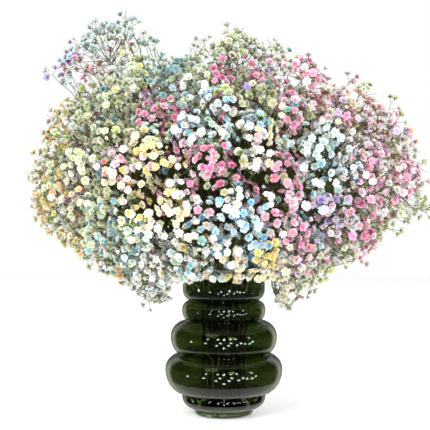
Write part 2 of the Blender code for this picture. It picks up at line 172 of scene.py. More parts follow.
# How far a floret's dye may fade and a bud's turn green, and how much of each cluster is of one dye
PALE = (0.93, 0.93, 0.90)
PALING = (0.0, 0.30)
BUD_GREEN = (0.3, 0.8)
MAIN_SHARE = 1.6
SHADE_SCATTER = (0.84, 1.0)
WHITE = (0.98, 0.98, 0.98)
OLIVE = (0.24, 0.25, 0.10)
LEAF_GREEN = (0.34, 0.40, 0.14)
BROWN = (0.24, 0.17, 0.09)
# How finely petals and stalks are grained, in waves a metre
PETAL_GRAINS = (900.0, 220.0)
STALK_GRAINS = (700.0, 70.0)

# The vase's outline from the foot up, as (z, r): creases, the widest place of each bulge between
# them, the collar above, the rim and the floor inside. The wall is as thick everywhere.
CREASES = ((0.0, 0.0280), (0.0082, 0.0345), (0.0274, 0.0495), (0.0765, 0.0535), (0.1180, 0.0450),
           (0.1430, 0.0412))
BULGES = ((0.0045, 0.0362), (0.0235, 0.0520), (0.0575, 0.0731), (0.0985, 0.0664), (0.1310, 0.0522))
COLLAR = (0.1570, 0.0513)
RIM_Z = 0.1800
WALL = 0.0042
FLOOR = (0.0125, 0.0300)
ARC_STEPS = 7
RIM_STEPS = 8

# Soft lamps that light the bouquet: their places and widths
SOFT_LAMPS = {
    "key": ((-0.8, -1.5, 1.05), 0.9), "front": ((0.5, -1.7, 0.5), 0.5), "back": ((0.9, 1.5, 1.2), 0.9),
}
# The room that the glass mirrors: dark but for the backdrop behind, the table below and far lamps,
# whose places are degrees to the right of the front and above the horizon
ROOM_DARK = 0.98
ROOM_TOP = (0.70, 0.88)
BACKDROP_FROM = (0.50, 0.78)
BACKDROP_FADES = (0.70, 1.0)
BACKDROP_DARK = 0.85
# The table shows where the glass itself slopes down so far. Seen from the front, its slope is the
# mirrored way's height over the root of how far that way turns back, which is kept above zero
TABLE_FROM = (-0.72, -0.62)
TURNED_FROM = 1.001
LAMPS = (
    (-75, -9), (-40, -12), (-16, -21), (-8, -11), (10, -21), (15, -10), (29, -19), (46, -14), (64, -7),
    (-35, 13), (-13, 12), (0, 8), (0, 14), (13, 12), (25, 13), (55, 15), (0, -33), (37, -11), (57, -14),
)
LAMP_WIDTH = math.radians(3.2)
LAMP_GLOW = 26.0
LAMP_TINT = (0.84, 0.93, 1.0)
# Between these heights the surroundings go from the side's brightness to that overhead
SKY_FROM = (0.1, 0.9)
FLOOR_R = 3.0

# Floret forms: petal layers from the outside in, as tip radius, tip height, height at the centre
# and corners at each petal's tip
LAYERS = {
    "open": ((1.00, -0.02, -0.38, 2), (0.82, 0.32, -0.30, 1), (0.50, 0.44, -0.16, 1)),
    "full": ((1.00, -0.08, -0.34, 2), (0.86, 0.26, -0.20, 1), (0.62, 0.50, 0.00, 1)),
    "half": ((0.74, 0.46, -0.34, 2), (0.50, 0.58, -0.10, 1)),
    "plain": ((1.00, 0.00, -0.34, 2), (0.66, 0.26, -0.12, 1)),
}
FORMS = (*LAYERS, "bud")
PETALS = 5
PETAL_HALF = math.radians(21)
PETAL_SCATTER = (0.92, 1.06)
LAYER_TURN = math.pi / PETALS + 0.13
NOTCH = 0.62
RUFFLE = 0.11
TIP_TILT = 0.6
PETAL_THICK = 0.10
SHARP = math.radians(70)
# Small turned bodies, as (height, radius) from below: the bun in a full floret, the calyx, the bud
BUN = ((0.40, 0.30),)
CALYX = ((-0.42, 0.26),)
CALYX_END = -0.80
BUD = ((-0.20, 0.26), (0.25, 0.34))
BUN_SIDES = 5
CALYX_SIDES = 4
BUD_SIDES = 5
# How far out on the petals their colours are taken from, at the rim 1
UNDERSIDE = 0.8
BUN_RIMS = (0.35,)
CALYX_RIMS = (1.0,)
BUD_RIMS = (0.1, 0.9)

# Clusters: a stalk that forks towards small groups of florets, which fill a dome
STEM_STEP = 0.016
CLUSTER_FORK = 0.42
GROUP_FORK = 0.48
GROUP_SIZE = 2
FLORETS_A_CLUSTER = (4, 6)
CLUSTER_FILL = 1.25
CLUSTER_START = 0.45
CLUSTER_DOME = 0.55
CLUSTER_DEPTH = (-0.75, 0.20)
LOOK_OUT = 0.75
LOOK_SCATTER = 0.28
SIZE_SCATTER = (0.80, 1.12)
HALF_OPEN = 0.12
HALF_OPEN_SIZE = 0.72
BUDS_A_CLUSTER = (0, 1)
BUD_SIZE = (0.36, 0.56)
BUD_SHARE = (0.3, 1.4)
BUD_DEPTH = (-0.3, 0.45)
BUD_FORK = 0.4
# Fine stalks: how thick they start and end, in radii of a pedicel, and how far they stray
THICKNESS = {
    "branch": (2.4, 1.7), "cluster": (1.7, 1.5), "group": (1.4, 1.2), "pedicel": (1.2, 1.0),
    "twig": (3.4, 2.0), "twig_fork": (2.6, 1.8),
}
FORK_STRAYS = 0.001
BRANCH_STRAYS = 0.003
PEDICEL_STRAYS = 0.0006
# Where a pedicel bends, and how far it sinks there in radii of its floret
PEDICEL_BEND = 0.55
PEDICEL_SINKS = 0.4

# Clusters within the bouquet, between the frame's own: shares of the way out, and the space to each
# other for a depth under the surface
FILL_TRIES = 44000
FILL_SHARES = (0.42, 1.0)
FILL_GAPS = ((0.0, 0.0128), (0.030, 0.0195), (0.12, 0.036))
FILL_FLORETS = (3, 4)
FILL_SPREAD = 0.0105
FILL_LENGTH = 0.020
NEAR_WAY = math.cos(math.radians(8))
# Deeper than this under the surface, florets are plain ones
DEEP = 0.040
# Clusters stay above the vase. Beyond its collar they may hang lower, but less and less to the sides
FILL_LOWEST = 0.192
FILL_HANG = 0.030
FILL_RISE_FROM = 0.12
FILL_RISE = 0.75
# Where on the frame's stalks their branches may start, and the rule for the nearest fit: how far to
# leap at least, in lengths of a cluster's own stalk, and how much to keep the stalk's direction
SPOT_SHARES = (0.0, 0.33, 0.67)
SPOT_LOWEST = FILL_LOWEST - 0.006
LEAST_LEAP = 1.3
LEAST_FORWARD = 0.3
FORWARD_PULL = 1.6
# A branch leaves its stalk along it, for a share of its length
BRANCH_BEND = 0.4
BRANCH_OUTWARD = 0.5
BRANCH_AGE = 0.7
# Florets that hang before the vase's collar stay above this height
COLLAR_HALF = 0.067
COLLAR_REACH = 0.150
OVER_COLLAR = 0.174
OVER_COLLAR_SCATTER = 0.006
# How far a floret's middle may stand out of the frame's box
BOX_ROOM = 0.016
# Tips that stand out of the heads: right of the axis and height of those that the front shows
FRONT_TIPS = (
    (-0.122, 0.496), (-0.124, 0.484), (-0.168, 0.466), (-0.194, 0.444), (-0.012, 0.462), (0.008, 0.484),
    (0.022, 0.478), (0.036, 0.470), (0.062, 0.468), (0.076, 0.462), (0.166, 0.424), (0.188, 0.412),
    (0.212, 0.392), (0.228, 0.376), (0.232, 0.350), (0.240, 0.330), (0.248, 0.312), (0.250, 0.262),
    (-0.236, 0.298), (-0.228, 0.316), (-0.212, 0.372), (-0.218, 0.354), (-0.240, 0.276),
    (-0.104, 0.142), (-0.096, 0.136), (-0.088, 0.142), (-0.080, 0.148), (0.102, 0.150), (0.114, 0.152),
    (-0.222, 0.378), (-0.226, 0.362), (-0.208, 0.384), (0.176, 0.410), (0.170, 0.400), (0.190, 0.396),
)
FRONT_TIP_DEPTH = (-0.02, 0.04)
TIPS = 60
TIP_OUT = (-0.004, 0.008)
TIP_LOWEST = 0.25
TIP_WIDEST = 0.245
TIP_FLORETS = 3
TIP_SPREAD = 0.010
# Painted shade: florets deep within the bouquet are coloured darker and greener, for the shade among the
# stalks there: share of the way out and shade
PAINTED_DEPTH_SHADE = ((0.40, 0.48), (0.78, 1.0))
PAINTED_SHADE_GREEN = 0.35
# Bare twigs that fork off within the bouquet, halfway along their length
TWIGS_A_SPRAY = 135
TWIG_LOWEST = 0.25
TWIG_LENGTH = (0.045, 0.095)
TWIG_FORK = 0.5
TWIG_SPREAD = 0.55
TWIG_SHARE = 0.93

# The bake map: stalks lie along its lower edge, and above them each floret has a cell with four
# quarters, three for its layers, the last with the bun, and one for what looks down and the calyx
MAP_NAME = "OFBake"
MAP_EDGE = 0.04
STRIP_HALF = 0.45
STALK_MARGIN = 0.05
CELL_MARGIN = 0.03
QUARTER_R = 0.23
BUN_QUARTER = 2
LOW_QUARTER = 3
# Helping attributes that the finished mesh doesn't keep
HELPERS = ("thickness", "fine", "along", "around", "form", "turned", "size", "cell", "petal")


def linear(colour):
    """A colour as the eye sees it, as the numbers that a shader takes."""
    return tuple(c / 12.92 if c <= 0.04045 else ((c + 0.055) / 1.055) ** 2.4 for c in colour)


def colour_property(name, colour):
    return FloatVectorProperty(
        name=name, description=f"Colour of {name.lower()}", subtype="COLOR", size=3, min=0.0, max=1.0,
        default=linear(colour),
    )


# What a user would change

def length(name, description, default):
    return FloatProperty(name=name, description=description, default=default, unit="LENGTH")


def level(name, description, default):
    return FloatProperty(name=name, description=description, default=default, min=0.0)


def power(name, description, default):
    return FloatProperty(name=name, description=description, default=default, unit="POWER")


class BouquetDyes(PropertyGroup):
    """Colours of the dyed florets."""

    __annotations__ = {
        name: colour_property(name.replace("_", " ").title(), colour) for name, colour in DYES.items()
    }


class BouquetFlorets(PropertyGroup):
    """Sizes of the florets and their stalks."""

    floret_r: length("Floret Radius", "Radius of an open floret", 0.0050)
    stem_r: length("Stem Radius", "Radius of a stem at its foot", 0.0011)
    branch_r: length("Branch Radius", "Radius of a branch where it forks off", 0.00062)
    pedicel_r: length("Pedicel Radius", "Radius of the stalk of one floret", 0.00024)
    stem_sides: IntProperty(name="Stem Sides", description="Sides of a stem or branch", default=6, min=3)
    pedicel_sides: IntProperty(name="Pedicel Sides", description="Sides of a pedicel", default=3, min=3)
    stalk_young: colour_property("Young Stalks", LEAF_GREEN)
    stalk_old: colour_property("Old Stalks", BROWN)
    stalk_green: colour_property("Stalks", OLIVE)


class BouquetVase(PropertyGroup):
    """Finish of the vase."""

    tint: colour_property("Glass", (0.36, 0.42, 0.24))
    roughness: FloatProperty(
        name="Roughness", description="Roughness of the glass", default=0.015, min=0.0, max=1.0)
    sides: IntProperty(name="Sides", description="Sides of the turned wall", default=120, min=24)


class BouquetStage(PropertyGroup):
    """The camera, the floor and the light."""

    camera_side: length("Camera Side", "Distance of the camera right of the axis", -0.011)
    camera_away: length("Camera Distance", "Distance of the camera in front of the axis", 1.25)
    camera_height: length("Camera Height", "Height of the camera", 0.249)
    lens: FloatProperty(name="Lens", description="Focal length in millimetres", default=83.7)
    floor: colour_property("Floor", (0.97, 0.97, 0.97))
    floor_glow: level("Floor Glow", "Light that the floor gives by itself", 0.27)
    side_light: level("Side Light", "Brightness of the surroundings at eye level", 0.34)
    top_light: level("Top Light", "Brightness of the surroundings overhead", 0.85)
    key: power("Key Light", "Power of the soft key light", 29.0)
    front: power("Front Light", "Power of the fill light in front", 20.0)
    back: power("Back Light", "Power of the soft light behind", 12.0)


class BouquetSettings(PropertyGroup):
    """All settings of the bouquet."""

    dyes: PointerProperty(type=BouquetDyes)
    florets: PointerProperty(type=BouquetFlorets)
    vase: PointerProperty(type=BouquetVase)
    stage: PointerProperty(type=BouquetStage)


# Node trees

class Wire:
    """An output of a node. Sums with wires and numbers add Math nodes."""

    def __init__(self, tree, socket):
        self.tree = tree
        self.socket = socket

    def maths(self, operation, *values):
        return add_node(self.tree, "ShaderNodeMath", {"operation": operation}, dict(enumerate(values)))

    def __add__(self, other):
        return self.maths("ADD", self, other)

    def __sub__(self, other):
        return self.maths("SUBTRACT", self, other)

    def __mul__(self, other):
        return self.maths("MULTIPLY", self, other)

    def __truediv__(self, other):
        return self.maths("DIVIDE", self, other)

    def __pow__(self, other):
        return self.maths("POWER", self, other)

    def floor(self):
        return self.maths("FLOOR", self)

    def __radd__(self, other):
        return self.maths("ADD", other, self)

    def __rsub__(self, other):
        return self.maths("SUBTRACT", other, self)

    def __rmul__(self, other):
        return self.maths("MULTIPLY", other, self)


def add_node(tree, kind, settings=None, values=None, output=0):
    """Adds a node: first its settings, then a value or a wire for each socket, and returns an output."""
    made = tree.nodes.new(kind)
    for name, value in (settings or {}).items():
        if name == "stops":
            ramp = made.color_ramp.elements
            while len(ramp) < len(value):
                ramp.new(0.5)
            for stop, (place, colour) in zip(ramp, value):
                stop.position = place
                stop.color = (*colour, 1.0)
        else:
            setattr(made, name, value)
    for name, value in (values or {}).items():
        if isinstance(value, Wire):
            tree.links.new(value.socket, made.inputs[name])
        else:
            made.inputs[name].default_value = value
    return Wire(tree, made.outputs[output]) if made.outputs else None


def mixed(tree, share, a, b, blend="MIX"):
    """A mix of two colours. Plain colours have three numbers."""
    a, b = (c if isinstance(c, Wire) else (*c, 1.0) for c in (a, b))
    settings = {"data_type": "RGBA", "blend_type": blend}
    return add_node(tree, "ShaderNodeMix", settings, {0: share, 6: a, 7: b}, 2)


def new_material(name):
    """A material with its nodes taken out, and the tree to fill."""
    made = bpy.data.materials.new(name)
    made.use_nodes = True
    made.node_tree.nodes.clear()
    return made, made.node_tree


def finish_material(tree, shader):
    add_node(tree, "ShaderNodeOutputMaterial", {}, {"Surface": shader})


def attribute(tree, name, output="Color"):
    return add_node(tree, "ShaderNodeAttribute", {"attribute_name": name}, {}, output)


def grain(tree, where, scale, detail):
    return add_node(tree, "ShaderNodeTexNoise", {}, {"Vector": where, "Scale": scale, "Detail": detail})


# Materials

def petal_material():
    """Dyed petals: the heart's colour runs into the dye from each layer's base, and the petals pale towards
    each layer's rim; partly the dye's own fade, partly painted shade at the base and a painted highlight on
    the edges.
    """
    made, tree = new_material("dyed_petals")
    where = add_node(tree, "ShaderNodeTexCoord", {}, {}, "Object")
    rim = attribute(tree, "rim", "Fac")
    fine = grain(tree, where, PETAL_GRAINS[0], 2.0)
    broad = grain(tree, where, PETAL_GRAINS[1], 1.0)
    # Painted shade and highlight: more heart colour at each layer's base and between petals, more white at
    # each layer's rim, besides the real heart and fade
    dyed = mixed(tree, rim ** 0.7, attribute(tree, "heart"), attribute(tree, "dye"))
    paled = mixed(tree, (rim ** 3.0) * (0.15 + broad * 0.4), dyed, WHITE)
    shade = 0.90 + fine * 0.16
    colour = mixed(tree, 1.0, paled, add_node(
        tree, "ShaderNodeCombineColor", {}, {"Red": shade, "Green": shade, "Blue": shade}), "MULTIPLY")
    bump = add_node(tree, "ShaderNodeBump", {}, {"Strength": 0.25, "Distance": 0.0004, "Height": fine})
    finish_material(tree, add_node(tree, "ShaderNodeBsdfPrincipled", {}, {
        "Base Color": colour, "Roughness": 0.62, "Normal": bump}))
    return made


def stalk_material(settings):
    """Stalks and calyxes: olive, greener where they are young and browner in streaks."""
    made, tree = new_material("dried_stalks")
    where = add_node(tree, "ShaderNodeTexCoord", {}, {}, "Object")
    age = attribute(tree, "age", "Fac")
    fine = grain(tree, where, STALK_GRAINS[0], 2.0)
    broad = grain(tree, where, STALK_GRAINS[1], 2.0)
    young = mixed(tree, age, tuple(settings.stalk_young), tuple(settings.stalk_green))
    spots = add_node(tree, "ShaderNodeMapRange", {}, {
        "Value": broad, "From Min": 0.45, "From Max": 0.7, "To Min": 0.0, "To Max": 0.75})
    colour = mixed(tree, spots, young, tuple(settings.stalk_old))
    bump = add_node(tree, "ShaderNodeBump", {}, {"Strength": 0.3, "Distance": 0.0003, "Height": fine})
    finish_material(tree, add_node(tree, "ShaderNodeBsdfPrincipled", {}, {
        "Base Color": colour, "Roughness": 0.55, "Normal": bump}))
    return made


def glass_material(settings):
    """Dark olive glass, near black where two walls lie behind each other."""
    made, tree = new_material("dark_olive_glass")
    finish_material(tree, add_node(tree, "ShaderNodeBsdfPrincipled", {}, {
        "Base Color": (*settings.tint, 1.0), "Roughness": settings.roughness, "IOR": 1.5,
        "Transmission Weight": 1.0}))
    return made


# Objects

def link(name, mesh):
    made = bpy.data.objects.new(name, mesh)
    bpy.context.scene.collection.objects.link(made)
    return made


def dress(piece, node):
    """Puts a finished piece on the frame in place of its node."""
    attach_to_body(piece, BODY)
    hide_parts(node)


def middle(places):
    """The middle of places or corners. Sorted, they give the same sum in any order."""
    places = sorted((getattr(place, "co", place) for place in places), key=tuple)
    return sum(places, Vector()) / len(places)


def by_place(corners):
    """Corners in an order that is the same each run, which a set's own isn't."""
    return sorted(corners, key=lambda corner: tuple(corner.co))


def merged(node):
    """A copy of a CAD node's mesh, its corners merged."""
    bm = bmesh.new()
    bm.from_mesh(frame["nodes"][node].data)
    bmesh.ops.remove_doubles(bm, verts=bm.verts[:], dist=WELD)
    return bm


# Reading a spray

class Cup:
    """A large floret of the frame: its foot, its middle, the way it looks and its radius."""

    def __init__(self, tip):
        ring = {edge.other_vert(tip) for edge in tip.link_edges}
        below = {edge.other_vert(corner) for corner in ring for edge in corner.link_edges}
        self.middle = middle(ring)
        self.foot = middle(below - ring - {tip})
        self.way = (tip.co - self.middle).normalized()
        self.radius = math.fsum((corner.co - self.middle).length for corner in ring) / len(ring)


class SprayShape:
    """A spray as the frame has it: the paths of its stalks, and its cups.

    A ring of three corners that bounds no face is a section of a stalk, and two rings follow each
    other if faces join them. Beyond a fork's ring is one corner that touches all three of its own.
    """

    def __init__(self, node):
        self.bm = merged(node)
        self.faces = {frozenset(face.verts) for face in self.bm.faces}
        self.near = {
            corner: {edge.other_vert(corner) for edge in corner.link_edges} for corner in self.bm.verts
        }
        self.rings = {}
        for edge in self.bm.edges:
            a, b = edge.verts
            for c in self.near[a] & self.near[b]:
                ring = frozenset((a, b, c))
                if ring not in self.faces:
                    for corner in ring:
                        self.rings.setdefault(corner, set()).add(ring)
        self.cups = [Cup(corner) for corner in by_place(self.bm.verts) if self.is_tip(corner)]
        self.paths = []
        foot = min(self.bm.faces, key=lambda face: face.calc_center_median().z)
        self.passed = set(foot.verts)
        self.trace(frozenset(foot.verts), middle(foot.verts), 0)
        self.bm.free()

    def is_tip(self, corner):
        """A cup's tip touches five corners, all as far away."""
        lengths = [edge.calc_length() for edge in corner.link_edges]
        return len(lengths) == 5 and max(lengths) - min(lengths) < 2 * WELD

    def next_ring(self, gate):
        """The ring that faces join to this one, further on."""
        touching = set().union(*(self.near[corner] for corner in gate)) - self.passed
        rings = set().union(*(self.rings.get(corner, set()) for corner in touching))
        for ring in sorted(rings, key=lambda ring: tuple(middle(ring))):
            sides = itertools.combinations(gate, 2)
            if not ring & self.passed and all(
                any(frozenset((a, b, c)) in self.faces for c in ring) for a, b in sides
            ):
                return ring
        return None

    def trace(self, gate, start, order):
        """Follows a stalk to its end, and then each stalk that forks off there."""
        path = [start.copy()]
        ring = self.next_ring(gate)
        while ring:
            self.passed |= ring
            path.append(middle(ring))
            gate = ring
            ring = self.next_ring(gate)
        self.paths.append((order, path))
        a, b, c = by_place(gate)
        for apex in by_place((self.near[a] & self.near[b] & self.near[c]) - self.passed):
            self.passed.add(apex)
            for p, q in ((a, b), (b, c), (c, a)):
                fork = frozenset((p, q, apex))
                if self.next_ring(fork):
                    self.trace(fork, path[-1], order + 1)


# Floret forms

class FormMaker:
    """Builds one small form, with the share of the way to the petals' rims and its map place."""

    def __init__(self, name):
        self.name = name
        self.bm = bmesh.new()
        self.rim = self.bm.verts.layers.float.new("rim")
        self.map = self.bm.loops.layers.uv.new(MAP_NAME)
        self.rng = random.Random(name)

    def corner(self, r, turn, z, rim):
        made = self.bm.verts.new((r * math.cos(turn), r * math.sin(turn), z))
        made[self.rim] = rim
        return made

    def face(self, corners, quarter, scale):
        """A face, laid on its quarter of the cell as seen from above."""
        made = self.bm.faces.new(corners)
        made.smooth = True
        row, column = divmod(quarter, 2)
        for loop in made.loops:
            x, y = loop.vert.co.x / scale * QUARTER_R, loop.vert.co.y / scale * QUARTER_R
            loop[self.map].uv = (column * 0.5 + 0.25 + x, row * 0.5 + 0.25 + y)

    def cones(self, lower, low, low_quarter, upper, high, high_quarter, scale):
        """Closes the lower ring with a cone down to a corner, and the upper one with a cone up."""
        for a, b in zip(lower, lower[1:] + lower[:1]):
            self.face((b, a, low), low_quarter, scale)
        for a, b in zip(upper, upper[1:] + upper[:1]):
            self.face((a, b, high), high_quarter, scale)

    def petals(self, quarter, tip_r, tip_z, centre_z, tips, turn):
        """A layer of petals as one thin lobed cup, its rim ruffled and notched between petals."""
        ring = []
        sides = (-1, 1) if tips == 2 else (0,)
        for k in range(PETALS):
            at = turn + math.tau * k / PETALS
            lift = self.rng.uniform(-RUFFLE, RUFFLE)
            grow = self.rng.uniform(*PETAL_SCATTER)
            for side in sides:
                z = tip_z + lift + side * RUFFLE * TIP_TILT
                ring.append(self.corner(tip_r * grow, at + side * PETAL_HALF, z, 1.0))
            notch_z = centre_z + (tip_z - centre_z) * NOTCH - RUFFLE
            ring.append(self.corner(tip_r * NOTCH, at + math.pi / PETALS, notch_z, NOTCH))
        low = self.corner(0.0, 0.0, centre_z - PETAL_THICK / 2, UNDERSIDE)
        high = self.corner(0.0, 0.0, centre_z + PETAL_THICK / 2, 0.0)
        self.cones(ring, low, LOW_QUARTER, ring, high, quarter, tip_r)

    def turned(self, outline, sides, quarter, rims, foot=None):
        """A closed turned body through (height, radius) places, from the lowest up."""
        rings = []
        for (z, r), rim in zip(outline, rims):
            rings.append([self.corner(r, math.tau * k / sides, z, rim) for k in range(sides)])
        scale = max(r for z, r in outline)
        if foot is None:
            foot = outline[0][0] - outline[0][1] / 2
        low = self.corner(0.0, 0.0, foot, rims[0])
        high = self.corner(0.0, 0.0, outline[-1][0] + outline[-1][1] / 2, rims[-1])
        for ring, above in zip(rings, rings[1:]):
            for k in range(sides):
                n = (k + 1) % sides
                self.face((ring[k], ring[n], above[n], above[k]), quarter, scale)
        self.cones(rings[0], low, quarter, rings[-1], high, quarter, scale)

    def object(self):
        mesh = bpy.data.meshes.new(self.name)
        self.bm.to_mesh(mesh)
        self.bm.free()
        mesh.set_sharp_from_angle(angle=SHARP)
        return bpy.data.objects.new(self.name, mesh)


def make_forms():
    """The forms that the sprays are sown with, in the order of FORMS, and the calyx.

    A collection hands its forms over in the order of their names, so the names are numbered.
    """
    forms = bpy.data.collections.new("floret_forms")
    for number, form in enumerate(FORMS):
        maker = FormMaker(f"form_{number}_{form}")
        for layer_number, layer in enumerate(LAYERS.get(form, ())):
            maker.petals(layer_number, *layer, layer_number * LAYER_TURN)
        if form == "full":
            maker.turned(BUN, BUN_SIDES, BUN_QUARTER, BUN_RIMS)
        elif form == "bud":
            maker.turned(BUD, BUD_SIDES, 0, BUD_RIMS)
        forms.objects.link(maker.object())
    calyx = FormMaker("calyx")
    calyx.turned(CALYX, CALYX_SIDES, LOW_QUARTER, CALYX_RIMS, CALYX_END)
    return forms, calyx.object()


# The bouquet as a whole

def mix_patches():
    """The patches at the front, and the same turned about behind, as places in space with a mix."""
    found = []
    for x, z, mix in PATCHES:
        left = ROUND_R ** 2 - x ** 2 - (z - HEART.z) ** 2
        y = DEPTH * math.sqrt(max(left, LEAST_DEPTH ** 2))
        found.append((Vector((x, -y, z)), mix))
        found.append((Vector((-x, y, z)), mix))
    return found


class Bouquet:
    """All sprays as the frame has them, and what their heads make together."""

    def __init__(self):
        self.rng = random.Random(SEED)
        self.patches = mix_patches()
        self.shapes = {node: SprayShape(node) for node in SPRAYS}
        self.cups = [cup for shape in self.shapes.values() for cup in shape.cups]
        self.ways = np.array([(cup.middle - HEART).normalized() for cup in self.cups])
        self.reaches = np.array([(cup.middle - HEART).length for cup in self.cups])
        self.find_spots()
        self.taken = [cup.middle for cup in self.cups]
        self.added = {node: [] for node in SPRAYS}
        self.fill()
        self.fringe()

    def reach(self, way):
        """How far the heads go from the heart in a direction, or nothing where there are none."""
        near = self.ways @ np.array(way) > NEAR_WAY
        return float(self.reaches[near].max()) if near.any() else 0.0

    def share_out(self, place):
        """How far out a place lies, as a share of the heads' reach there."""
        away = place - HEART
        return away.length / (self.reach(away.normalized()) or away.length)

    def find_spots(self):
        """Where a stalk of the frame can fork once more: spray, place and direction."""
        self.spots = []
        for node, shape in self.shapes.items():
            for _, path in shape.paths:
                for low, high in zip(path, path[1:]):
                    for share in SPOT_SHARES:
                        place = low.lerp(high, share)
                        if place.z > SPOT_LOWEST:
                            self.spots.append((node, place, (high - low).normalized()))
        self.spot_places = np.array([place for _, place, _ in self.spots])
        self.spot_ways = np.array([way for _, _, way in self.spots])

    def nearest_spot(self, place):
        """The nearest stalk that can reach a place by growing outward."""
        leap = np.array(place) - self.spot_places
        far = np.linalg.norm(leap, axis=1)
        forward = (leap * self.spot_ways).sum(axis=1) / np.maximum(far, WELD)
        fits = (far > FILL_LENGTH * LEAST_LEAP) & (forward > LEAST_FORWARD)
        if not fits.any():
            return None
        return self.spots[int(np.argmin(np.where(fits, far * (FORWARD_PULL - forward), np.inf)))]

    def take(self, place, florets, spread, deep=False):
        """Adds a cluster on a stalk of its own, if a spray can reach it."""
        spot = self.nearest_spot(place)
        if spot:
            self.taken.append(place)
            self.added[spot[0]].append((spot[1], spot[2], place, florets, spread, deep))

    def fill(self):
        """Clusters within the bouquet, where the heads leave room."""
        for _ in range(FILL_TRIES):
            way = Vector([self.rng.gauss(0, 1) for _ in range(3)]).normalized()
            share = self.rng.uniform(*FILL_SHARES)
            reach = self.reach(way)
            gap = np.interp(reach * (1 - share), *zip(*FILL_GAPS))
            place = HEART + way * reach * share
            lowest = FILL_LOWEST
            if math.hypot(place.x, place.y) > COLLAR[1] + FILL_HANG:
                lowest += max(0.0, abs(place.x) - FILL_RISE_FROM) * FILL_RISE - FILL_HANG
            if place.z < lowest or place == HEART:
                continue
            if min((place - other).length for other in self.taken) > gap:
                self.take(place, self.rng.randint(*FILL_FLORETS), FILL_SPREAD, reach * (1 - share) > DEEP)

    def fringe(self):
        """Thin tips that stand out of the heads: those that the front shows, and some all round."""
        for x, z in FRONT_TIPS:
            self.take(Vector((x, self.rng.uniform(*FRONT_TIP_DEPTH), z)), TIP_FLORETS, TIP_SPREAD)
        for _ in range(TIPS):
            way = Vector([self.rng.gauss(0, 1) for _ in range(3)]).normalized()
            place = HEART + way * (self.reach(way) + self.rng.uniform(*TIP_OUT))
            if place.z > TIP_LOWEST and self.reach(way) and abs(place.x) < TIP_WIDEST:
                self.take(place, TIP_FLORETS, TIP_SPREAD)


# Growing a spray

def sideways(way):
    side = way.orthogonal().normalized()
    return side, way.cross(side)


def before_collar(place):
    """Whether a place hangs right before the vase's collar, or behind it."""
    return abs(place.x) < COLLAR_HALF and abs(place.y) < COLLAR_REACH


